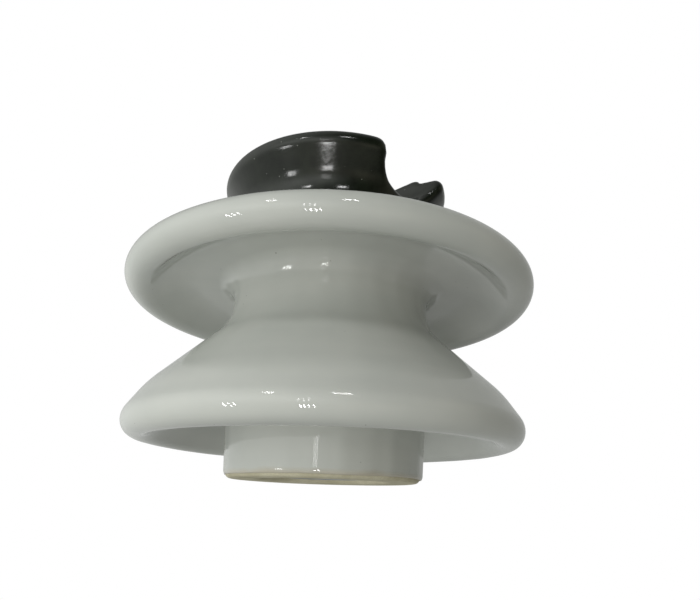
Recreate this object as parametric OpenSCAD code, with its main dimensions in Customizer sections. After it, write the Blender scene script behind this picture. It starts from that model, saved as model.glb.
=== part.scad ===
// Two-shed porcelain pin insulator with a radio-free (semiconducting) head glaze.
// The outline is a "belt" laid round a short list of circles, so every edge is a true rounding
// that runs tangentially into the next. Millimetres, +Z up, origin at the centre of the foot.
// The conductor groove runs along X.

/* [Overall] */
// Diameter of the upper shed
upper_shed_d = 190.5; // [188:0.5:200]
// Height from the foot to the top of the head
total_h = 146; // [145:0.5:150]

/* [Head] */
// Diameter of the lip round the head
head_d = 113.4; // [112:0.2:116]
// Rounding of the head lip
head_lip_r = 5.2; // [4:0.1:5.5]
// How far the middle of the lip lies below the top
head_lip_drop = 6.8; // [6.5:0.1:7.5]
// Rounding of the crown inside the lip
crown_r = 10; // [8:0.5:12]
// Diameter at the bottom of the side tie groove
tie_neck_d = 94; // [92:0.5:97]
// Radius of the side tie groove
tie_groove_r = 14.3; // [12:0.1:14.3]
// Height of the middle of the side tie groove
tie_groove_z = 120; // [118:0.1:120.2]
// Radius of the conductor groove across the top
conductor_r = 17; // [14:0.5:19]
// Rounding of the two shoulders of the conductor groove
shoulder_r = 6; // [3:0.5:7]

/* [Upper shed] */
// Rounding of the upper shed's rim
upper_rim_r = 6.9; // [6:0.1:8]
// Height of the middle of the upper rim
upper_rim_z = 84.2; // [82:0.1:86]
// Radius of the hollow behind the upper rim
upper_hollow_r = 25; // [20:0.5:27]
// Angle below the horizontal that the wall between the rim and the hollow faces
upper_wall_angle = 42; // [38:1:46]

/* [Neck and lower shed] */
// Diameter of the neck at its narrowest
neck_d = 92.4; // [90:0.2:96]
// Rounding where the neck runs into the upper shed
neck_fillet_r = 9; // [7:0.1:10]
// Radius of the sweep from the neck to the lower shed
neck_sweep_r = 26.4; // [20:0.1:30]
// Height of the narrowest part of the neck
neck_z = 78; // [76:0.1:79]
// Diameter of the lower shed
lower_shed_d = 173; // [170:0.5:178]
// Rounding of the lower shed's rim
lower_rim_r = 7.3; // [6:0.1:8]
// Height of the middle of the lower rim
lower_rim_z = 21; // [19:0.1:23]
// Height of the top of the swelling on the lower shed
swell_top_z = 49.5; // [49:0.1:50]
// Radius of that swelling
swell_r = 41.7; // [38:0.1:44]
// Radius of the hollow between the lower shed and the collar
lower_hollow_r = 9; // [7:0.5:10]
// Height of the ceiling under the lower shed
lower_ceiling_z = 34; // [31:0.5:36]

/* [Collar and foot] */
// Diameter of the collar at the foot
collar_d = 86.6; // [86:0.1:90]
// Height of the bare foot below the glaze
bare_foot_h = 2.2; // [1.5:0.1:6]

/* [Pin hole] */
// Diameter of the cementing hole in the porcelain
socket_d = 54; // [52:0.5:56]
// Depth of the cementing hole
socket_depth = 68; // [66:0.5:72]
// Outside diameter of the thimble
thimble_d = 42; // [41:0.5:44]
// Diameter of the pin thread at its crests, nominal 1 3/8 in
thread_d = 34; // [32:0.1:35]
// Length of the thread
thread_len = 56; // [50:0.5:57]
// Thickness of the cork cushion above the thimble
cushion_t = 5.6; // [4:0.1:6]

/* [Coats] */
// Thickness of the grey glaze and of the black head glaze
glaze_t = 0.5; // [0.4:0.1:0.8]
// Thickness of the semiconducting glaze in the hole
lining_t = 0.4; // [0.3:0.1:0.6]
// Thickness of the band of fired grit that keys the cement
grit_t = 1; // [0.8:0.1:1.5]
// Thickness of the bituminous film on the thimble
film_t = 0.3; // [0.2:0.1:0.4]

/* [Hidden] */
$fn = 96;

// One point on a rounding every so many degrees
arc_step = 7.5;
// Slack that keeps a boolean from meeting a face edge on
eps = 0.01;
// Cutters run this far past the faces that they cut
past = 1;

upper_r = upper_shed_d / 2;
lower_r = lower_shed_d / 2;
head_r = head_d / 2;
neck_r = neck_d / 2;
collar_r = collar_d / 2;
socket_r = socket_d / 2;
thimble_r = thimble_d / 2;

// Where the black head glaze gives way to the grey, out from the axis
glaze_seam_r = 64;

// How far inside the lip's edge the rounding of the crown is centred
crown_edge_inset = 13.6;
// How far outside the neck the lower shed's swelling is centred
swell_offset = 0.6;

// The collar leans out by this much on its way up to the lower shed
collar_draft = 1.5;
socket_mouth_r = 3;
socket_top_r = 6;
grit_low_z = 12;
grit_high_z = 54;
thimble_low_z = 1.5;
cement_low_z = 3.5;
cushion_inset = 1;
thimble_high_z = socket_depth - lining_t - cushion_t;
thimble_mouth_chamfer = 1.5;
rib_count = 7;
rib_depth = 0.9;

// ---- The belt: circles are [distance from axis, height, rounding] ----
// A rounding above 0 swells outwards, below 0 it is a hollow, and 0 is a plain corner.

// Direction of the outward normal on the straight between two neighbouring circles
function straight_normal(a, b) =
    let (d = [b[0] - a[0], b[1] - a[1]])
    atan2(d[1], d[0]) + acos(max(-1, min(1, (a[2] - b[2]) / norm(d))));

// Point of a circle whose outward normal has the given direction
function on_circle(c, angle) = [c[0] + c[2] * cos(angle), c[1] + c[2] * sin(angle)];

// Turn from one normal to the next: clockwise on a swelling, anticlockwise in a hollow
function turn(c, from, to) =
    let (t = (to - from) % 360)
    c[2] > 0 ? (t > eps ? t - 360 : t) : (t < -eps ? t + 360 : t);

// Points along one circle, between the straight before it and the straight after it
function rounding(c, from, to) =
    let (t = turn(c, from, to), steps = max(1, ceil(abs(t) / arc_step)))
    abs(c[2]) < eps || abs(t) < eps
        ? [on_circle(c, from)]
        : [for (i = [0 : steps]) on_circle(c, from + t * i / steps)];

// Points of the whole belt
function belt(circles) =
    let (last = len(circles) - 1,
         normals = [for (i = [0 : last - 1]) straight_normal(circles[i], circles[i + 1])])
    [for (i = [0 : last])
        each rounding(circles[i], normals[max(0, i - 1)], normals[min(last - 1, i)])];

// The same belt drawn tighter by t: the surface that lies t under it
function under(circles, t) = [for (c = circles) [c[0], c[1], c[2] - t]];

// The hollow that touches a rim's inner side where the wall between them faces the given angle
function hollow_behind(rim, r, wall) =
    [rim[0] - (rim[2] + r) * cos(wall), rim[1] - (rim[2] + r) * sin(wall), -r];

function backwards(points) = [for (i = [len(points) - 1 : -1 : 0]) points[i]];

// Section of a coat of thickness t under a belt
function coat(circles, t) = concat(belt(circles), backwards(belt(under(circles, t))));

// ---- Outlines, from the top of the head down ----
tie_circle = [tie_neck_d / 2 + tie_groove_r, tie_groove_z, -tie_groove_r];
upper_rim = [upper_r - upper_rim_r, upper_rim_z, upper_rim_r];

// The seam lies on the straight from the tie groove to the upper rim
seam_normal = straight_normal(tie_circle, upper_rim);
seam_start = on_circle(upper_rim, seam_normal);
seam = [glaze_seam_r, seam_start[1] + (seam_start[0] - glaze_seam_r) / tan(seam_normal), 0];

crown = [0, total_h, 0];
crown_edge = [head_r - crown_edge_inset, total_h - crown_r, crown_r];
head_lip = [head_r - head_lip_r, total_h - head_lip_drop, head_lip_r];
upper_hollow = hollow_behind(upper_rim, upper_hollow_r, upper_wall_angle);
upper_ceiling_z = upper_hollow[1] + upper_hollow_r;
neck_fillet = [neck_r + neck_fillet_r, upper_ceiling_z - neck_fillet_r, -neck_fillet_r];
neck_sweep = [neck_r + neck_sweep_r, neck_z, -neck_sweep_r];
lower_swell = [neck_r + swell_offset, swell_top_z - swell_r, swell_r];
lower_rim = [lower_r - lower_rim_r, lower_rim_z, lower_rim_r];
lower_hollow = [collar_r + collar_draft + lower_hollow_r, lower_ceiling_z - lower_hollow_r,
                -lower_hollow_r];
glaze_end = [collar_r, bare_foot_h, 0];

head_line = [crown, crown_edge, head_lip, tie_circle, seam];
shed_line = [seam, upper_rim, upper_hollow, neck_fillet, neck_sweep, lower_swell, lower_rim,
             lower_hollow, glaze_end];

foot_r = bare_foot_h - glaze_t;
foot = [collar_r - glaze_t - foot_r, foot_r, foot_r];
socket_mouth = [socket_r + socket_mouth_r, socket_mouth_r, socket_mouth_r];
socket_line = [[socket_r, socket_mouth_r, 0],
               [socket_r - socket_top_r, socket_depth - socket_top_r, -socket_top_r],
               [0, socket_depth, 0]];

// The free surface of the lining, inside the porcelain hole
hole_line = under(socket_line, -lining_t);

// Everything that is porcelain: the glazed lines under their coat, then the bare foot and the hole
core_line = concat(under(head_line, glaze_t),
                   under([for (i = [1 : len(shed_line) - 1]) shed_line[i]], glaze_t),
                   [foot, socket_mouth],
                   [for (i = [1 : len(socket_line) - 1]) socket_line[i]]);

module turned(points) {
    rotate_extrude() polygon(points);
}

// Cutter for the conductor groove, grown by a coat of thickness t
module conductor_cut(t = 0) {
    side = conductor_r + shoulder_r;
    shoulder_x = sqrt(side * side - shoulder_r * shoulder_r) + eps;
    shoulder_z = total_h - shoulder_r;
    reach = head_d;
    // The shoulders run out a little above the crown, so that no two faces coincide
    run_out = total_h + past;
    section = under([[-reach, run_out, 0],
                     [-shoulder_x, shoulder_z, shoulder_r],
                     [0, total_h, -conductor_r],
                     [shoulder_x, shoulder_z, shoulder_r],
                     [reach, run_out, 0]], t);
    rotate([90, 0, 90])
        linear_extrude(height = 2 * reach, center = true)
            polygon(concat(belt(section), [[reach, run_out + reach], [-reach, run_out + reach]]));
}

// ---- Pieces ----

// The one fired porcelain piece: head, two sheds, neck, collar and blind hole
module porcelain_body() {
    color([0.87, 0.85, 0.79])
        difference() {
            turned(belt(core_line));
            conductor_cut(glaze_t);
        }
}

// Grey glaze over both sheds, the neck and the collar; the foot stays bare
module grey_glaze() {
    color([0.70, 0.71, 0.68]) turned(coat(shed_line, glaze_t));
}

// Black semiconducting glaze over the head and both grooves
module head_glaze() {
    seam_foot = on_circle(under([seam], glaze_t)[0], seam_normal);
    skirt = 2 * glaze_t;
    color([0.10, 0.11, 0.10])
        difference() {
            turned(concat(belt(head_line), [seam_foot, [seam_foot[0], 0], [0, 0]]));
            conductor_cut();
            difference() {
                turned(concat(belt(under(head_line, glaze_t)),
                              [seam_foot + [skirt, -2 * skirt], [seam_foot[0] + skirt, -past],
                               [0, -past]]));
                conductor_cut(glaze_t);
            }
        }
}

// Semiconducting glaze that lines the hole
module socket_glaze() {
    color([0.16, 0.15, 0.14]) turned(coat(hole_line, lining_t));
}

// Ring between two radii and two heights
module ring(outer, inner, low, high) {
    translate([0, 0, low])
        difference() {
            cylinder(r = outer, h = high - low);
            translate([0, 0, -past]) cylinder(r = inner, h = high - low + 2 * past);
        }
}

// Ring of grit, drawn out over the hole's wall where it is used as a cutter
module grit_ring(over = 0) {
    ring(socket_r - lining_t + over, socket_r - lining_t - grit_t, grit_low_z, grit_high_z);
}

// Porcelain grit fired on to the lining, which keys the cement
module socket_grit_band() {
    color([0.80, 0.76, 0.68]) grit_ring();
}

// Outside of the thimble, with keying grooves, drawn out by a film of thickness t
module thimble_outside(t = 0) {
    rib_pitch = (thimble_high_z - thimble_low_z) / (rib_count + 1);
    difference() {
        translate([0, 0, thimble_low_z])
            cylinder(r = thimble_r + t, h = thimble_high_z - thimble_low_z + t);
        for (i = [1 : rib_count])
            ring(thimble_r + t + past, thimble_r - rib_depth + t,
                 thimble_low_z + rib_pitch * i - rib_pitch / 4 + t,
                 thimble_low_z + rib_pitch * i + rib_pitch / 4 - t);
    }
}

// Zinc thimble with the bore that takes the threaded head of the pin
module pin_thimble() {
    color([0.62, 0.64, 0.66])
        difference() {
            thimble_outside();
            translate([0, 0, thimble_low_z - past]) cylinder(d = thread_d, h = thread_len + past);
            translate([0, 0, thimble_low_z - eps])
                cylinder(d1 = thread_d + 2 * thimble_mouth_chamfer, d2 = thread_d,
                         h = thimble_mouth_chamfer);
        }
}

// Bituminous film between the thimble and the cement
module thimble_film() {
    color([0.07, 0.07, 0.07])
        difference() {
            thimble_outside(film_t);
            thimble_outside();
            translate([0, 0, -past]) cylinder(r = thimble_r + past, h = cement_low_z + past);
        }
}

// Portland cement that fills the hole round the thimble
module thimble_cement() {
    color([0.62, 0.61, 0.58])
        difference() {
            turned(concat(belt(hole_line), [[0, socket_mouth_r]]));
            translate([0, 0, -past]) cylinder(r = socket_r + past, h = cement_low_z + past);
            thimble_outside(film_t);
            grit_ring(past);
            cushion();
        }
}

module cushion() {
    translate([0, 0, thimble_high_z + film_t])
        cylinder(r = thimble_r - cushion_inset, h = cushion_t - film_t);
}

// Cork cushion between the thimble and the end of the hole
module cushion_disc() {
    color([0.66, 0.48, 0.31]) cushion();
}

porcelain_body();
grey_glaze();
head_glaze();
socket_glaze();
socket_grit_band();
thimble_cement();
thimble_film();
pin_thimble();
cushion_disc();
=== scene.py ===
"""Looks of the two-shed porcelain pin insulator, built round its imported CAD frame.

The ceramic surfaces are turned from the same belt of circles as the CAD, at a finer pitch. Added here
are a raised and dished crown, a rounded lower edge of the collar, a bell-mouthed conductor groove, and
what firing leaves: a little sag and a glaze seam that wanders.
Outlines are in millimetres, [distance from axis, height, rounding]; meshes are in metres.
"""
import math

import bpy
import numpy as np
from mathutils import Matrix, Vector


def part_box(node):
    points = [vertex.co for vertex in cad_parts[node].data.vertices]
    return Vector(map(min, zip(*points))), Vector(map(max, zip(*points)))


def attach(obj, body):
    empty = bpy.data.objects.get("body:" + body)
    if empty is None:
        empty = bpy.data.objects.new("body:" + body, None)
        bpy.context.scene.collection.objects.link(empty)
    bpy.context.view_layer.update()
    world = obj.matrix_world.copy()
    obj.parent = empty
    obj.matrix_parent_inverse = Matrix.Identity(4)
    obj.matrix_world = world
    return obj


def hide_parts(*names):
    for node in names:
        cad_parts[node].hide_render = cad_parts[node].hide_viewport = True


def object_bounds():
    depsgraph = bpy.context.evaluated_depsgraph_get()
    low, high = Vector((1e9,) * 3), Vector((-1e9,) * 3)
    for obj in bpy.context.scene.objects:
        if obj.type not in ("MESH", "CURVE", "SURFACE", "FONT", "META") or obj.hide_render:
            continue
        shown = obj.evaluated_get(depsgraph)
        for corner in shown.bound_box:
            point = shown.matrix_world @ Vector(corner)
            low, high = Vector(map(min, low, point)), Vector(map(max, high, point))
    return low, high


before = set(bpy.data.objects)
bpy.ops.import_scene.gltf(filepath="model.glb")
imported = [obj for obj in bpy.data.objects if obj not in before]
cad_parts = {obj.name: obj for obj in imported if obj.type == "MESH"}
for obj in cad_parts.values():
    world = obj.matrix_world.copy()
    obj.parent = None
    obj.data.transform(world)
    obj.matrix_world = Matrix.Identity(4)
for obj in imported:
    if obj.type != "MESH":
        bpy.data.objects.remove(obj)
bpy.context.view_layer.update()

MM = 0.001

# ---- Driving sizes, in millimetres ----

upper_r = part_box("grey_glaze")[1].x / MM
total_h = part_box("head_glaze")[1].z / MM
socket_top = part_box("socket_glaze")[1].z / MM
thimble_low, thimble_high = (corner.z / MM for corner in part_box("pin_thimble"))
thimble_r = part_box("pin_thimble")[1].x / MM
cement_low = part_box("thimble_cement")[0].z / MM
film_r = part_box("thimble_film")[1].x / MM

head_r = 56.7
head_lip_r = 5.2
tie_neck_r = 47.0
tie_groove_r = 14.3
upper_rim_r = 6.9
upper_hollow_r = 25.0
upper_wall_angle = math.radians(42)
neck_r = 46.2
neck_z = 78.0
neck_fillet_r = 9.0
neck_sweep_r = 26.4
lower_r = 86.5
lower_rim_r = 7.3
lower_hollow_r = 9.0
collar_r = 43.3
collar_taper = 1.5
collar_edge_r = 3.0
collar_edge_lift = 0.2
glaze_end_angle = math.radians(-38)
glaze_end_lip = 0.05
foot_r = 2.3
foot_inset = 0.4
socket_r = 27.0
socket_mouth_r = 3.0
socket_corner_r = 6.0
glaze_t = 0.5
lining_t = 0.4
seam_r = 64.0
seam_wander = 0.45

# ---- The belt: a rounding above 0 swells outwards, below 0 it is a hollow, 0 is a corner ----


def straight_normal(a, b):
    """Direction, in radians, of the outward normal on the straight between two neighbouring circles."""
    run, rise = b[0] - a[0], b[1] - a[1]
    reach = math.hypot(run, rise)
    return math.atan2(rise, run) + math.acos(max(-1, min(1, (a[2] - b[2]) / reach)))


def on_circle(circle, angle):
    """The point of a circle whose outward normal has that angle; of a hollow, on the far side."""
    return (circle[0] + circle[2] * math.cos(angle), circle[1] + circle[2] * math.sin(angle))


def turn(circle, start, end):
    """Angle from one normal to the next: clockwise on a swelling, anticlockwise in a hollow."""
    angle = math.fmod(end - start, 2 * math.pi)
    if circle[2] > 0:
        return angle - 2 * math.pi if angle > 1e-4 else angle
    return angle + 2 * math.pi if angle < -1e-4 else angle


def under(circles, depth):
    """The same belt drawn tighter by depth."""
    return [(c[0], c[1], c[2] - depth) for c in circles]


def belt(circles, longest=2.0, sharpest=math.radians(6)):
    """Points [distance, height, normal x, normal z] along the belt, no further apart than longest
    and, on a rounding, no more than sharpest round it."""
    last = len(circles) - 1
    normals = [straight_normal(circles[i], circles[i + 1]) for i in range(last)]
    rows = []
    for i, circle in enumerate(circles):
        start, end = normals[max(0, i - 1)], normals[min(last - 1, i)]
        angle = turn(circle, start, end)
        if rows:
            before = rows[-1]
            point = on_circle(circle, start)
            gap = math.hypot(point[0] - before[0], point[1] - before[1])
            steps = max(1, math.ceil(gap / longest))
            for k in range(1, steps):
                share = k / steps
                rows.append((before[0] + (point[0] - before[0]) * share,
                             before[1] + (point[1] - before[1]) * share,
                             math.cos(start), math.sin(start)))
        steps = max(math.ceil(abs(angle) / sharpest), math.ceil(abs(angle * circle[2]) / longest))
        if abs(circle[2]) < 0.01 or steps == 0:
            steps, angle = 0, 0
        for k in range(steps + 1):
            normal = start + (angle * k / steps if steps else 0)
            point = on_circle(circle, normal)
            if rows and math.hypot(point[0] - rows[-1][0], point[1] - rows[-1][1]) < 1e-3:
                continue
            rows.append((*point, math.cos(normal), math.sin(normal)))
    return np.array(rows)


# ---- The outline, from the top of the head down ----


def hollow_behind(rim, radius, wall):
    """The hollow that touches a rim's inner side where the wall between them leans by that angle."""
    reach = rim[2] + radius
    return (rim[0] - reach * math.cos(wall), rim[1] - reach * math.sin(wall), -radius)


crown = (0, total_h + 1.0, 0)
crown_edge = (40.5, total_h - 3.6, 6)
crown_dip = (47.4, total_h + 4.3, -5)
head_lip = (head_r - head_lip_r, 139.2, head_lip_r)
tie_groove = (tie_neck_r + tie_groove_r, 120, -tie_groove_r)
upper_rim = (upper_r - upper_rim_r, 84.2, upper_rim_r)
upper_hollow = hollow_behind(upper_rim, upper_hollow_r, upper_wall_angle)
upper_ceiling_z = upper_hollow[1] + upper_hollow_r
neck_fillet = (neck_r + neck_fillet_r, upper_ceiling_z - neck_fillet_r, -neck_fillet_r)
neck_sweep = (neck_r + neck_sweep_r, neck_z, -neck_sweep_r)
lower_swell = (neck_r + 0.6, 7.8, 41.7)
lower_rim = (lower_r - lower_rim_r, 21, lower_rim_r)
lower_hollow = (collar_r + collar_taper + lower_hollow_r, 25, -lower_hollow_r)
collar_edge = (collar_r - collar_edge_r, collar_edge_r + collar_edge_lift, collar_edge_r)

# The glaze ends part of the way round the collar's edge, and the bare foot takes over
glaze_end = (*on_circle((*collar_edge[:2], collar_edge_r + glaze_end_lip), glaze_end_angle), 0)
foot = (collar_edge[0] - foot_inset, foot_r, foot_r)

# The two glazes meet on the straight between the tie groove and the upper rim
seam_normal = straight_normal(tie_groove, upper_rim)
seam_foot = on_circle(upper_rim, seam_normal)
seam = (seam_r, seam_foot[1] + (seam_foot[0] - seam_r) / math.tan(seam_normal), 0)

head_line = [crown, crown_edge, crown_dip, head_lip, tie_groove, seam]
shed_line = [seam, upper_rim, upper_hollow, neck_fillet, neck_sweep, lower_swell, lower_rim,
             lower_hollow, collar_edge, glaze_end]
socket_line = [(socket_r + socket_mouth_r, socket_mouth_r, socket_mouth_r), (socket_r, socket_mouth_r, 0),
               (socket_r - socket_corner_r, socket_top - socket_corner_r, -socket_corner_r),
               (0, socket_top, 0)]


# ---- Meshes ----


def around(count):
    """Evenly spaced azimuths, in radians."""
    return np.arange(count) * (2 * math.pi / count)


def ring(r, z, azimuths):
    """Points round the axis. Distance and height are numbers, or arrays with the azimuths last."""
    return np.stack([r * np.cos(azimuths), r * np.sin(azimuths), z * np.ones_like(azimuths)], -1)


def wrapped(rows, azimuths):
    """Turns outline rows into points [row, azimuth, xyz], in millimetres."""
    return ring(rows[:, 0:1], rows[:, 1:2], azimuths)


def skin(name, points, loop=False):
    """A mesh of quads over a grid [row, azimuth, xyz] in millimetres, closed round the axis. A row on
    the axis becomes one point. With loop, the last row joins the first."""
    count, across = points.shape[:2]
    verts, index = [], []
    for row in points:
        start = sum(len(v) for v in verts)
        if np.ptp(row, axis=0).max() < 1e-9:
            verts.append(row[:1])
            index.append(np.full(across, start))
        else:
            verts.append(row)
            index.append(start + np.arange(across))
    pairs = [(i, i + 1) for i in range(count - 1)]
    if loop:
        pairs.append((count - 1, 0))
    faces = []
    for a, b in pairs:
        one, two = index[a], index[b]
        quad = np.stack([one, two, np.roll(two, -1), np.roll(one, -1)], -1).tolist()
        if one[0] == one[-1]:
            quad = [[q[0], q[1], q[2]] for q in quad]
        elif two[0] == two[-1]:
            quad = [[q[0], q[1], q[3]] for q in quad]
        faces += quad
    mesh = bpy.data.meshes.new(name)
    mesh.from_pydata((np.concatenate(verts) * MM).tolist(), [], faces)
    mesh.shade_smooth()
    piece = bpy.data.objects.new(name, mesh)
    bpy.context.scene.collection.objects.link(piece)
    return piece


# Firing's warp, in two and three waves round the axis: shares of the radius, then millimetres
swell_in_two = 0.0025
swell_in_three = 0.0012
sag_in_two = 0.25
sag_in_three = 0.15
head_lean = 0.4
lean_from_z = tie_groove[1] - 8
lean_over = 25


def warp(points):
    """What drying and firing leave: ovality and sag, which grow towards the rims, and a head that
    leans over by a fraction of a millimetre."""
    x, y, z = points[..., 0], points[..., 1], points[..., 2]
    angle = np.arctan2(y, x)
    share = (np.hypot(x, y) / upper_r) ** 2
    swell = (1 + swell_in_two * share * np.cos(2 * angle + 0.7)
             + swell_in_three * share * np.cos(3 * angle + z / 40))
    sag = share * (sag_in_two * np.cos(2 * angle - 1.1 + z / 60)
                   + sag_in_three * np.cos(3 * angle + 0.4))
    lean = head_lean * np.clip((z - lean_from_z) / lean_over, 0, 1)
    return np.stack([x * swell + lean, y * swell + lean, z + sag], -1)


def ripple(azimuths, strength, seed):
    """A wavy line round the axis: a few low waves of a seeded strength and phase."""
    draw = np.random.default_rng(seed)
    line = np.zeros_like(azimuths)
    for waves in (2, 3, 5, 7, 11, 17, 26, 41):
        line += draw.normal() / waves ** 0.6 * np.cos(waves * azimuths + draw.uniform(0, 2 * math.pi))
    return strength * line


def seam_shift(points, rows, azimuths, near_r, far_r):
    """Slides rows along the straight where the two glazes meet, so that the seam wanders: rows at
    near_r move in full, and rows at far_r not at all."""
    slope = -1 / math.tan(seam_normal)
    share = np.clip((rows[:, 0:1] - far_r) / (near_r - far_r), 0, 1)
    shift = share * ripple(azimuths, seam_wander, seed=5)
    points[..., 0] += shift * np.cos(azimuths)
    points[..., 1] += shift * np.sin(azimuths)
    points[..., 2] += shift * slope


def on_seam_straight(rows):
    """Which rows face the way of the straight where the two glazes meet."""
    return np.abs(np.arctan2(rows[:, 3], rows[:, 2]) - seam_normal) < 1e-6


def shed_surface(depth, azimuths, longest):
    """The surface of the sheds, neck and collar, at a depth under the face of the glaze."""
    rows = belt(under(shed_line, depth), longest=longest)
    points = wrapped(rows, azimuths)
    last = np.where(on_seam_straight(rows) & (rows[:, 1] > upper_rim[1]))[0][-1]
    seam_shift(points, rows, azimuths, rows[0, 0], rows[last, 0])
    return points


# ---- The head: the turned outline and the conductor groove, blended ----

pivot_z = 110.0
join_z = 121.0
join_gap = 0.4
groove_r = 17.0
groove_z = total_h
lobe_r = 50.0
blend_k = 5.0
bell_drop = 1.7
bell_flare = 2.6
wall_lean = math.radians(8)


def smooth_max(a, b, k):
    """The larger of two distances, rounded over k where they cross."""
    mix = np.clip(0.5 + 0.5 * (a - b) / k, 0, 1)
    return a * mix + b * (1 - mix) + k * mix * (1 - mix)


# The turned head as seen from a pivot inside it: how far off each row is, and how squarely it faces
head_rows = belt(head_line, longest=0.2, sharpest=math.radians(1))
head_rows = head_rows[np.argsort(np.arctan2(head_rows[:, 1] - pivot_z, head_rows[:, 0]))]
row_angle = np.arctan2(head_rows[:, 1] - pivot_z, head_rows[:, 0])
row_reach = np.hypot(head_rows[:, 1] - pivot_z, head_rows[:, 0])
row_facing = head_rows[:, 2] * np.cos(row_angle) + head_rows[:, 3] * np.sin(row_angle)


def turned_distance(r, z):
    """Signed distance, near the surface, to the head as it is turned."""
    angle = np.arctan2(z - pivot_z, r)
    reach = np.interp(angle, row_angle, row_reach)
    facing = np.interp(angle, row_angle, row_facing)
    return (np.hypot(r, z - pivot_z) - reach) * facing


def groove_distance(x, y, z):
    """How deep a point lies in the conductor groove, which runs along X and opens at both ends."""
    out = (x / lobe_r) ** 2
    radius = groove_r + bell_flare * out
    height = z - groove_z + bell_drop * out
    round_part = radius - np.hypot(y, height)
    wall = (radius + math.tan(wall_lean) * height - np.abs(y)) * math.cos(wall_lean)
    return np.where(height > 0, wall, round_part)


def head_distance(r, azimuth, z):
    """Signed distance, near the surface, to the head with its groove."""
    x, y = r * np.cos(azimuth), r * np.sin(azimuth)
    return smooth_max(turned_distance(np.abs(r), z), groove_distance(x, y, z), blend_k)


def head_slope(r, azimuth, z, gap=0.02):
    """Direction and size of the slope of the head's distance, in the half plane of an azimuth."""
    out = head_distance(r + gap, azimuth, z) - head_distance(r - gap, azimuth, z)
    up = head_distance(r, azimuth, z + gap) - head_distance(r, azimuth, z - gap)
    size = np.hypot(out, up)
    return out / size, up / size, size / (2 * gap)


def head_sections(azimuths, count, stride=0.3, most_steps=700, corrections=3):
    """Follows the head's surface in each azimuth from the tie groove up and in to the axis, and
    returns count + 1 points of each, from the axis out: [row, azimuth, (r, z)]. Each step goes
    along the surface and is then corrected back on to it."""
    start_angle = math.asin((join_z - tie_groove[1]) / tie_groove_r)
    r = np.full_like(azimuths, tie_groove[0] - tie_groove_r * math.cos(start_angle))
    z = np.full_like(azimuths, join_z)
    path = [np.stack([r, z], -1)]
    done = np.zeros(len(azimuths), bool)
    for _ in range(most_steps):
        out, up, _size = head_slope(r, azimuths, z)
        new_r, new_z = r - up * stride, z + out * stride
        for _ in range(corrections):
            out, up, size = head_slope(new_r, azimuths, new_z)
            error = head_distance(new_r, azimuths, new_z) / size
            new_r, new_z = new_r - out * error, new_z - up * error
        share = np.clip(r / np.maximum(r - new_r, 1e-9), 0, 1)
        stop = new_r <= 0
        new_z = np.where(stop, z + (new_z - z) * share, new_z)
        new_r = np.where(stop, 0, new_r)
        r, z = np.where(done, r, new_r), np.where(done, z, new_z)
        done |= stop
        path.append(np.stack([r, z], -1))
        if done.all():
            break
    path = np.array(path)
    sections = np.empty((count + 1, len(azimuths), 2))
    for j in range(len(azimuths)):
        steps = np.r_[0, np.cumsum(np.hypot(*np.diff(path[:, j], axis=0).T))]
        wanted = np.linspace(steps[-1], 0, count + 1)
        for k in range(2):
            sections[:, j, k] = np.interp(wanted, steps, path[:, j, k])
    sections[0] = (0, sections[0, :, 1].mean())
    return sections


def head_surface(azimuths, count, longest):
    """Points of the black glaze's surface from the top of the head to the seam: a cap that is followed
    along the blended shape and, below the middle of the tie groove, a wall that is simply turned."""
    sections = head_sections(azimuths, count)
    cap = ring(sections[..., 0], sections[..., 1], azimuths)
    rows = belt([head_lip, tie_groove, seam], longest=longest)
    rows = rows[rows[:, 1] < join_z - join_gap]
    wall = wrapped(rows, azimuths)
    first = np.where(on_seam_straight(rows))[0][0]
    seam_shift(wall, rows, azimuths, rows[-1, 0], rows[first, 0])
    return np.concatenate([cap, wall])


def grid_normals(points):
    """Outward normals of a grid of points that closes round the axis."""
    down = np.gradient(points, axis=0)
    along = np.roll(points, -1, 1) - np.roll(points, 1, 1)
    normal = np.cross(down, along)
    normal[0] = (0, 0, 1)
    return normal / np.linalg.norm(normal, axis=-1, keepdims=True)


# ---- Pieces ----

glaze_turns = 264
core_gap = 0.12
thread_pitch = 6.35
thread_depth = 1.8
thread_flank = 0.8
thread_high = thimble_low + 56.0
thread_steps = 14
thimble_wall = 4.0
rib_count = 7
rib_depth = 0.9
rib_slope = 0.3
thimble_chamfer = 0.5
mouth_chamfer = 1.5


def finished(piece, cad_node, made):
    """Gives a piece its place in the frame and its material, and hides the CAD node it stands for."""
    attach(piece, "root")
    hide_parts(cad_node)
    piece.data.materials.append(made)


def make_black_glaze():
    """The black coat: the head's surface and, glaze_t under it, the face that lies on the core."""
    azimuths = around(glaze_turns)
    surface = head_surface(azimuths, count=110, longest=0.8)
    inner = surface - glaze_t * grid_normals(surface)
    inner[0, :, :2] = 0
    coat = skin("black_glaze_coat", warp(np.concatenate([surface, inner[::-1]])))
    finished(coat, "head_glaze", black_glaze_material())


def make_grey_glaze():
    """The grey coat, closed at the seam and where it ends on the collar's edge."""
    azimuths = around(glaze_turns)
    outer = shed_surface(0, azimuths, longest=1.6)
    inner = shed_surface(glaze_t, azimuths, longest=4.0)
    coat = skin("grey_glaze_coat", warp(np.concatenate([outer, inner[::-1]])), loop=True)
    finished(coat, "grey_glaze", grey_glaze_material())


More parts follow.
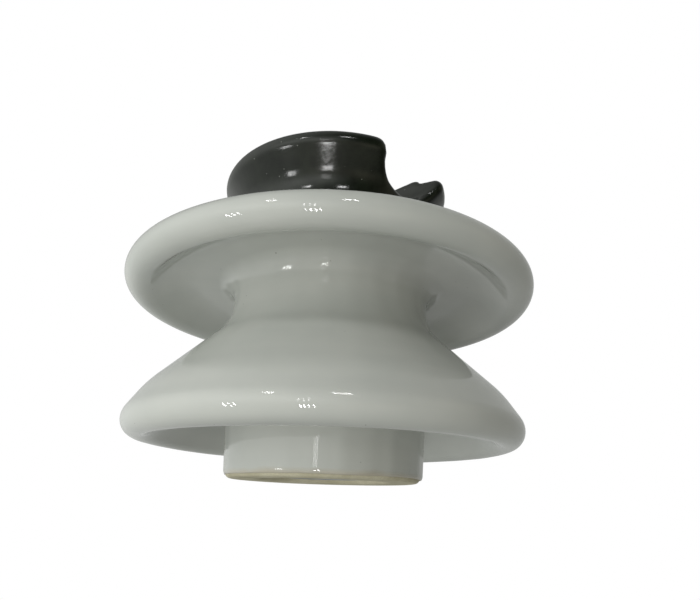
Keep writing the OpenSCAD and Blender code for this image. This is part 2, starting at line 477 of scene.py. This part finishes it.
def make_core():
    """The porcelain itself, a hair's breadth under its glazes, with its bare foot and its hole."""
    azimuths = around(256)
    head = head_surface(azimuths, count=60, longest=2.0)
    head = head - (glaze_t + core_gap) * grid_normals(head)
    head[0, :, :2] = 0
    sheds = shed_surface(glaze_t + core_gap, azimuths, longest=3.0)
    end_normal = straight_normal(collar_edge, glaze_end)
    end = (*on_circle((*glaze_end[:2], -glaze_t - core_gap), end_normal), 0)
    bottom = wrapped(belt([end, foot, *socket_line], longest=1.5)[1:], azimuths)
    core = skin("porcelain_core", warp(np.concatenate([head[:-1], sheds[:-1], bottom])))
    finished(core, "porcelain_body", bisque_material())


def thimble_outline():
    """Outside of the thimble from the axis at its top, over the keying grooves, to its lower edge."""
    pitch = (thimble_high - thimble_low) / (rib_count + 1)
    line = [(0, thimble_high), (thimble_r - thimble_chamfer, thimble_high),
            (thimble_r, thimble_high - thimble_chamfer)]
    for i in range(rib_count, 0, -1):
        high = thimble_low + pitch * i + pitch / 4
        low = thimble_low + pitch * i - pitch / 4
        line += [(thimble_r, high), (thimble_r - rib_depth, high - rib_slope),
                 (thimble_r - rib_depth, low + rib_slope), (thimble_r, low)]
    return line + [(thimble_r, thimble_low + thimble_chamfer), (thimble_r - thimble_chamfer, thimble_low)]


def make_thimble():
    """The zinc thimble with its coarse rounded thread, which runs out into the top of the bore."""
    azimuths = around(160)
    crest_r = thimble_r - thimble_wall
    rows = [ring(r, z, azimuths) for r, z in thimble_outline()]
    for z in np.arange(thimble_low, thread_high + 0.01, thread_pitch / thread_steps):
        wave = 0.5 - 0.5 * np.cos(2 * math.pi * (z / thread_pitch) - azimuths)
        run_out = min(1, (thread_high - z) / thread_pitch)
        mouth = max(0, mouth_chamfer - (z - thimble_low))
        r = np.maximum(crest_r + thread_depth * run_out * wave ** thread_flank, crest_r + mouth)
        rows.append(ring(r, z, azimuths))
    rows.append(ring(0, thread_high, azimuths))
    thimble = skin("zinc_thimble", np.array(rows))
    finished(thimble, "pin_thimble", zinc_material())


# The cement's face: how far in it lies, how far it creeps down the walls, how fast that fades, and
# how uneven the trowel left it
face_inset = 0.55
face_creep = 0.7
creep_falloff = 9
face_rows = 16
trowel_wave = 0.10
trowel_grain = 0.03
film_t = 0.3
cement_top_gap = 0.4
cement_top_fall = 0.1


def make_cement():
    """The cement. Its trowelled face is uneven and creeps a little way down both walls."""
    azimuths = around(200)
    draw = np.random.default_rng(11)
    wall_r = socket_r - lining_t
    top_z = socket_top - lining_t
    rows = [ring(0, top_z - cement_top_gap, azimuths),
            ring(wall_r - socket_corner_r, top_z - cement_top_gap - cement_top_fall, azimuths),
            ring(wall_r, top_z - socket_corner_r, azimuths)]
    for share in np.linspace(0, 1, face_rows):
        creep = face_creep * (np.exp(-share * creep_falloff) + np.exp(-(1 - share) * creep_falloff))
        trowel = (ripple(azimuths + share * 2.5, trowel_wave, seed=21)
                  + draw.normal(0, trowel_grain, len(azimuths)))
        face_r = wall_r + (film_r - wall_r) * share
        rows.append(ring(face_r, cement_low - creep + face_inset + trowel, azimuths))
    rows += [ring(film_r, thimble_high + film_t, azimuths), ring(0, thimble_high + film_t, azimuths)]
    cement = skin("cement_fill", np.array(rows))
    finished(cement, "thimble_cement", cement_material())


# ---- Materials ----

# The Mix node's sockets for two colours and their blend, which share their names with others
MIX_FIRST, MIX_SECOND, MIX_RESULT = 6, 7, 2


def new_material(name, **values):
    """A material with its Principled shader; values are set on the shader's own sockets."""
    made = bpy.data.materials.new(name)
    made.use_nodes = True
    shader = made.node_tree.nodes["Principled BSDF"]
    for key, value in values.items():
        shader.inputs[key.replace("_", " ")].default_value = value
    return made, made.node_tree, shader


def node(tree, kind, inputs=None, **settings):
    """A new shader node. An input is a value, or a socket to link to."""
    made = tree.nodes.new("ShaderNode" + kind)
    for key, value in settings.items():
        setattr(made, key, value)
    for key, value in (inputs or {}).items():
        if isinstance(value, bpy.types.NodeSocket):
            tree.links.new(value, made.inputs[key])
        else:
            made.inputs[key].default_value = value
    return made


def place(tree, stretch=(1, 1, 1)):
    """Object coordinates in metres, stretched along X, Y and Z."""
    coords = node(tree, "TexCoord").outputs["Object"]
    return node(tree, "VectorMath", {0: coords, 1: stretch}, operation="MULTIPLY").outputs[0]


def grain(tree, size_mm, detail=2.0, rough=0.5, stretch=(1, 1, 1)):
    """Noise from 0 to 1 whose features are about size_mm across."""
    inputs = {"Vector": place(tree, stretch), "Scale": 1000 / size_mm, "Detail": detail,
              "Roughness": rough}
    return node(tree, "TexNoise", inputs).outputs["Fac"]


def spread(tree, value, low, high, to_low=0.0, to_high=1.0):
    """Maps low..high to to_low..to_high, and holds it there beyond them."""
    inputs = {"Value": value, "From Min": low, "From Max": high, "To Min": to_low, "To Max": to_high}
    return node(tree, "MapRange", inputs).outputs["Result"]


def blended(tree, share, a, b):
    """Colour a where share is 0, and b where it is 1."""
    inputs = {"Factor": share, MIX_FIRST: a, MIX_SECOND: b}
    return node(tree, "Mix", inputs, data_type="RGBA").outputs[MIX_RESULT]


def combined(tree, operation, a, b):
    return node(tree, "Math", {0: a, 1: b}, operation=operation).outputs[0]


def specks(tree, size_mm, radius, kept):
    """Round specks: one in a Voronoi cell, with its radius in cells, in the share of cells that is kept."""
    cells = node(tree, "TexVoronoi", {"Vector": place(tree), "Scale": 1000 / size_mm})
    drawn = node(tree, "SeparateColor", {0: cells.outputs["Color"]}).outputs[0]
    near = spread(tree, cells.outputs["Distance"], radius * 0.6, radius, 1, 0)
    return combined(tree, "MULTIPLY", near, spread(tree, drawn, kept, kept * 1.05, 1, 0))


def bumped(tree, shader, height, depth_mm, socket="Normal"):
    """Lets a height from 0 to 1 roughen the shading, as relief of that depth."""
    bump = node(tree, "Bump", {"Height": height, "Strength": 1.0, "Distance": depth_mm * MM})
    tree.links.new(bump.outputs[0], shader.inputs[socket])


def height_mm(tree):
    """Height over the foot's plane, in millimetres."""
    coords = node(tree, "TexCoord").outputs["Object"]
    up = node(tree, "SeparateXYZ", {0: coords}).outputs["Z"]
    return combined(tree, "MULTIPLY", up, 1000.0)


def grey_glaze_material():
    """Glossy grey glaze: cloudy, faintly banded by turning, with iron specks, and thin at its lower
    edge. Its gloss has a little orange peel and, mostly on the neck, turning marks."""
    made, tree, shader = new_material("grey_glaze", Roughness=0.55, Coat_Weight=1.0,
                                      Coat_Roughness=0.03, Coat_IOR=1.5, Specular_IOR_Level=0.2)
    cloud = grain(tree, 34, detail=3)
    bands = grain(tree, 9, detail=2, stretch=(0.04, 0.04, 1))
    tone = combined(tree, "ADD", spread(tree, cloud, 0.35, 0.65, 0, 0.7),
                    spread(tree, bands, 0.4, 0.6, 0, 0.3))
    colour = blended(tree, tone, (0.50, 0.52, 0.49, 1), (0.56, 0.575, 0.54, 1))
    wander = combined(tree, "ADD", height_mm(tree), spread(tree, grain(tree, 12), 0, 1, -1.2, 1.2))
    thin = spread(tree, wander, glaze_end[1], glaze_end[1] + 2.2, 0.75, 0)
    colour = blended(tree, thin, colour, (0.46, 0.41, 0.31, 1))
    dots = combined(tree, "MAXIMUM", specks(tree, 5.5, 0.05, 0.25), specks(tree, 13, 0.03, 0.5))
    colour = blended(tree, combined(tree, "MULTIPLY", dots, 0.75), colour, (0.09, 0.08, 0.06, 1))
    tree.links.new(colour, shader.inputs["Base Color"])
    peel = combined(tree, "ADD", grain(tree, 4.5, detail=1),
                    combined(tree, "MULTIPLY", grain(tree, 22, detail=1), 2.5))
    marks = grain(tree, 4.0, detail=2, stretch=(0.03, 0.03, 1))
    on_neck = spread(tree, height_mm(tree), neck_z - 30, neck_z - 12, 0.4, 1.0)
    height = combined(tree, "ADD", peel, combined(tree, "MULTIPLY", marks, on_neck))
    bumped(tree, shader, height, 0.014, "Coat Normal")
    return made


def black_glaze_material():
    """Black semiconducting glaze: greenish and slightly satin, with pale specks that are partly mineral
    specks and partly painted glints.
    """
    made, tree, shader = new_material("black_glaze", Roughness=0.5, Coat_Weight=1.0,
                                      Coat_Roughness=0.14, Coat_IOR=1.5, Specular_IOR_Level=0.0)
    mottle = grain(tree, 5, detail=4, rough=0.6)
    colour = blended(tree, spread(tree, mottle, 0.35, 0.7),
                     (0.003, 0.005, 0.002, 1), (0.010, 0.014, 0.008, 1))
    # Pale specks: partly mineral specks, partly painted glints of light on the glaze
    dots = combined(tree, "MAXIMUM", specks(tree, 3.2, 0.09, 0.35), specks(tree, 7, 0.05, 0.5))
    colour = blended(tree, combined(tree, "MULTIPLY", dots, 0.6), colour, (0.30, 0.31, 0.28, 1))
    tree.links.new(colour, shader.inputs["Base Color"])
    peel = combined(tree, "ADD", grain(tree, 3.0, detail=2),
                    combined(tree, "MULTIPLY", grain(tree, 14, detail=1), 2.0))
    bumped(tree, shader, peel, 0.04, "Coat Normal")
    return made


def bisque_material():
    """Bare fired porcelain: warm, matt and finely gritty, with cloudy stains."""
    made, tree, shader = new_material("bare_porcelain", Roughness=0.85)
    stain = grain(tree, 16, detail=4, rough=0.6)
    colour = blended(tree, spread(tree, stain, 0.35, 0.65), (0.45, 0.42, 0.29, 1), (0.61, 0.58, 0.44, 1))
    fine = grain(tree, 0.9, detail=3, rough=0.7)
    colour = blended(tree, spread(tree, fine, 0.4, 0.75, 0, 0.35), colour, (0.30, 0.27, 0.18, 1))
    tree.links.new(colour, shader.inputs["Base Color"])
    bumped(tree, shader, fine, 0.12)
    return made


def lining_material():
    """The hole's dark glazed lining: dull, brownish and slightly uneven."""
    made, tree, shader = new_material("socket_lining", Roughness=0.35, Coat_Weight=0.8, Coat_Roughness=0.12)
    colour = blended(tree, spread(tree, grain(tree, 6, detail=4), 0.35, 0.65),
                     (0.018, 0.017, 0.015, 1), (0.045, 0.040, 0.034, 1))
    tree.links.new(colour, shader.inputs["Base Color"])
    bumped(tree, shader, grain(tree, 2.5), 0.06)
    return made


def grit_material():
    """Crushed porcelain fired on to the wall: coarse grains, each of its own shade."""
    made, tree, shader = new_material("fired_grit", Roughness=0.9)
    cells = node(tree, "TexVoronoi", {"Vector": place(tree), "Scale": 1000 / 1.4})
    drawn = node(tree, "SeparateColor", {0: cells.outputs["Color"]}).outputs[0]
    colour = blended(tree, drawn, (0.40, 0.35, 0.26, 1), (0.68, 0.64, 0.55, 1))
    tree.links.new(colour, shader.inputs["Base Color"])
    bumped(tree, shader, spread(tree, cells.outputs["Distance"], 0, 0.7, 1, 0), 0.5)
    return made


def cement_material():
    """Grey Portland cement: blotchy and sandy, with pinholes that are pits in the relief and darkened by
    painted shade in the colour.
    """
    made, tree, shader = new_material("cement", Roughness=0.92)
    blotch = grain(tree, 11, detail=5, rough=0.65)
    colour = blended(tree, spread(tree, blotch, 0.35, 0.65), (0.22, 0.215, 0.20, 1), (0.36, 0.35, 0.325, 1))
    # Pinholes: real pits in the relief, and painted shade that darkens them in the colour
    pinhole_pits_and_shade = specks(tree, 2.6, 0.16, 0.3)
    colour = blended(tree, pinhole_pits_and_shade, colour, (0.07, 0.068, 0.06, 1))
    tree.links.new(colour, shader.inputs["Base Color"])
    sand = combined(tree, "SUBTRACT", grain(tree, 0.8, detail=3, rough=0.7),
                    combined(tree, "MULTIPLY", pinhole_pits_and_shade, 0.8))
    bumped(tree, shader, sand, 0.35)
    return made


def zinc_material():
    """Cast zinc: dull, mottled by oxide, brighter where it is clean."""
    made, tree, shader = new_material("zinc", Metallic=1.0)
    oxide = grain(tree, 7, detail=5, rough=0.65)
    colour = blended(tree, spread(tree, oxide, 0.38, 0.68), (0.47, 0.49, 0.51, 1), (0.64, 0.65, 0.66, 1))
    tree.links.new(colour, shader.inputs["Base Color"])
    tree.links.new(spread(tree, oxide, 0.3, 0.7, 0.62, 0.38), shader.inputs["Roughness"])
    bumped(tree, shader, grain(tree, 1.1, detail=3, rough=0.6), 0.10)
    return made


def bitumen_material():
    """The brushed-on bituminous film: near black, half dull and lumpy."""
    made, tree, shader = new_material("bitumen", Roughness=0.5)
    colour = blended(tree, grain(tree, 3, detail=3), (0.008, 0.008, 0.009, 1), (0.028, 0.027, 0.026, 1))
    tree.links.new(colour, shader.inputs["Base Color"])
    bumped(tree, shader, grain(tree, 1.6), 0.15)
    return made


def cork_material():
    """Pressed cork: granules of differing browns with dark seams between them."""
    made, tree, shader = new_material("cork", Roughness=0.88)
    cells = node(tree, "TexVoronoi", {"Vector": place(tree), "Scale": 1000 / 2.2})
    drawn = node(tree, "SeparateColor", {0: cells.outputs["Color"]}).outputs[0]
    colour = blended(tree, drawn, (0.22, 0.11, 0.045, 1), (0.46, 0.28, 0.14, 1))
    tree.links.new(colour, shader.inputs["Base Color"])
    bumped(tree, shader, spread(tree, cells.outputs["Distance"], 0, 0.8, 1, 0), 0.3)
    return made


def finish_cad_nodes():
    """The lining, grit band, film and cushion keep their CAD shape and get their materials."""
    kept = {"socket_glaze": lining_material, "socket_grit_band": grit_material,
            "thimble_film": bitumen_material, "cushion_disc": cork_material}
    for name, make in kept.items():
        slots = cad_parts[name].data.materials
        slots.clear()
        slots.append(make())


make_black_glaze()
make_grey_glaze()
make_core()
make_thimble()
make_cement()
finish_cad_nodes()

# ---- Camera, floor and light ----

view_turn = math.radians(46.5)
camera_pitch = math.radians(20.71)
camera_yaw = math.radians(2.19)
camera_roll = math.radians(1.74)
camera_away = 248.79
camera_drop = 8.67
camera_lens = 27.69


def seen_from_camera(azimuth, elevation):
    """Unit direction from the object, by degrees to the right of the camera and above the horizon."""
    a, e = math.radians(azimuth), math.radians(elevation)
    toward = Vector((math.sin(a) * math.cos(e), -math.cos(a) * math.cos(e), math.sin(e)))
    return Matrix.Rotation(view_turn, 3, "Z") @ toward


def make_camera():
    """The camera stands a little lower than the foot and looks up at the insulator."""
    level = math.cos(camera_pitch)
    forward = Vector((math.sin(camera_yaw) * level, math.cos(camera_yaw) * level, math.sin(camera_pitch)))
    right = Vector((math.cos(camera_yaw), -math.sin(camera_yaw), 0))
    up = right.cross(forward)
    image_right = math.cos(camera_roll) * right + math.sin(camera_roll) * up
    image_up = math.cos(camera_roll) * up - math.sin(camera_roll) * right
    turned = Matrix.Rotation(view_turn, 3, "Z")
    basis = Matrix((image_right, image_up, -forward)).transposed()
    data = bpy.data.cameras.new("camera")
    data.sensor_width = 36
    data.lens = camera_lens
    data.clip_start = 0.01
    camera = bpy.data.objects.new("camera", data)
    bpy.context.scene.collection.objects.link(camera)
    stand = turned @ Vector((0, -camera_away, -camera_drop)) * MM
    camera.matrix_world = Matrix.Translation(stand) @ (turned @ basis).to_4x4()
    bpy.context.scene.camera = camera


# Soft lights: daylight from the front, the left and behind, and a dimmer, warmer light from the
# right and from low in front. [azimuth, elevation, sharpness, strength, tint], by degrees from the camera
daylight = (0.98, 1.0, 0.97)
lamplight = (1.0, 0.92, 0.72)
soft_lights = [
    (-75, 10, 5, 0.75, daylight),
    (-45, 10, 20, 0.8, daylight),
    (-15, 5, 15, 1.0, daylight),
    (30, -20, 20, 0.35, lamplight),
    (-15, -25, 10, 0.25, lamplight),
    (70, 15, 12, 0.25, lamplight),
    (-60, 50, 6, 0.6, daylight),
    (-60, -60, 3, 0.6, daylight),
    (-135, 0, 5, 0.7, daylight),
    (150, 0, 4, 0.4, daylight),
    (130, 50, 6, 0.4, daylight),
]


def make_world():
    """White behind the object for the camera; for every other ray a sum of soft round lights."""
    world = bpy.data.worlds.new("studio")
    bpy.context.scene.world = world
    world.use_nodes = True
    tree = world.node_tree
    way = node(tree, "TexCoord").outputs["Generated"]
    total = (0.0, 0.0, 0.0)
    for azimuth, elevation, sharpness, strength, tint in soft_lights:
        axis = seen_from_camera(azimuth, elevation)
        facing = node(tree, "VectorMath", {0: way, 1: axis}, operation="DOT_PRODUCT").outputs["Value"]
        falling = node(tree, "Math", {0: facing, 1: sharpness, 2: -sharpness}, operation="MULTIPLY_ADD")
        amount = node(tree, "Math", {0: falling.outputs[0]}, operation="EXPONENT").outputs[0]
        colour = [strength * channel for channel in tint]
        part = node(tree, "VectorMath", {0: colour, "Scale": amount}, operation="SCALE").outputs[0]
        total = node(tree, "VectorMath", {0: part, 1: total}, operation="ADD").outputs[0]
    light = tree.nodes["Background"]
    tree.links.new(total, light.inputs["Color"])
    white = node(tree, "Background", {"Color": (1, 1, 1, 1)})
    seen = node(tree, "LightPath").outputs["Is Camera Ray"]
    mix = node(tree, "MixShader", {0: seen, 1: light.outputs[0], 2: white.outputs[0]})
    tree.links.new(mix.outputs[0], tree.nodes["World Output"].inputs["Surface"])


# Fixtures of parallel tubes, which draw the sharp highlights:
# [azimuth, elevation, length, tubes, spacing, slant, radiance], by degrees from the camera
fixtures = [
    (-50, -15, 13, 3, 2.9, 1.0, 44),
    (-10.5, -26, 14, 4, 2.5, 0.5, 44),
    (-11.7, 1.5, 14, 3, 2.6, 0, 11),
    (-33, 33, 6, 3, 2.0, 20, 40),
    (7, 35, 7, 4, 2.2, 20, 40),
]
tube_width = 0.6
lamp_reach = 1.5


def make_lamp(name, azimuth, elevation, across, along, slant, radiance):
    """A flat lamp on a wide sphere round the object, sized in degrees. The camera doesn't see it."""
    toward = seen_from_camera(azimuth, elevation)
    sideways = Vector((0, 0, 1)).cross(toward).normalized()
    rise = toward.cross(sideways)
    turned = Matrix.Rotation(math.radians(slant), 3, toward)
    data = bpy.data.lights.new(name, "AREA")
    data.shape = "RECTANGLE"
    data.size = 2 * lamp_reach * math.tan(math.radians(across / 2))
    data.size_y = 2 * lamp_reach * math.tan(math.radians(along / 2))
    data.energy = radiance * math.pi * data.size * data.size_y
    lamp = bpy.data.objects.new(name, data)
    bpy.context.scene.collection.objects.link(lamp)
    basis = Matrix((turned @ sideways, turned @ rise, toward)).transposed()
    lamp.matrix_world = Matrix.Translation(toward * lamp_reach) @ basis.to_4x4()
    lamp.visible_camera = False


def make_fixtures():
    """Each fixture's tubes, side by side."""
    for azimuth, elevation, length, tubes, spacing, slant, radiance in fixtures:
        for k in range(tubes):
            shift = (k - (tubes - 1) / 2) * spacing
            make_lamp("tube", azimuth + shift, elevation, tube_width, length, slant, radiance)


floor_r = 3.0
floor_gap = 0.1
floor_sides = 64


def make_floor():
    """A pale round floor that turns white towards its edge. It takes the object's shadow, but throws no
    light back, and from below it is open, because the camera stands lower than the foot."""
    lowest = min(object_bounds()[0][2], 0) - floor_gap * MM
    mesh = bpy.data.meshes.new("floor")
    rim = [(floor_r * math.cos(a), floor_r * math.sin(a), lowest) for a in around(floor_sides)]
    mesh.from_pydata(rim, [], [list(range(floor_sides))])
    floor = bpy.data.objects.new("floor", mesh)
    bpy.context.scene.collection.objects.link(floor)
    made, tree, shader = new_material("floor", Roughness=0.9, Base_Color=(0.80, 0.80, 0.79, 1))
    coords = node(tree, "TexCoord").outputs["Object"]
    reach = node(tree, "VectorMath", {0: coords}, operation="LENGTH").outputs["Value"]
    white = node(tree, "Emission", {"Color": (1, 1, 1, 1)})
    fade = spread(tree, reach, 0.2, 0.9, 0.4, 1.0)
    pale = node(tree, "MixShader", {0: fade, 1: shader.outputs[0], 2: white.outputs[0]})
    open_below = node(tree, "BsdfTransparent")
    back = node(tree, "NewGeometry").outputs["Backfacing"]
    mix = node(tree, "MixShader", {0: back, 1: pale.outputs[0], 2: open_below.outputs[0]})
    tree.links.new(mix.outputs[0], tree.nodes["Material Output"].inputs["Surface"])
    mesh.materials.append(made)
    floor.visible_diffuse = floor.visible_glossy = floor.visible_shadow = False


make_camera()
make_world()
make_fixtures()
make_floor()
bpy.context.scene.view_settings.view_transform = "Standard"
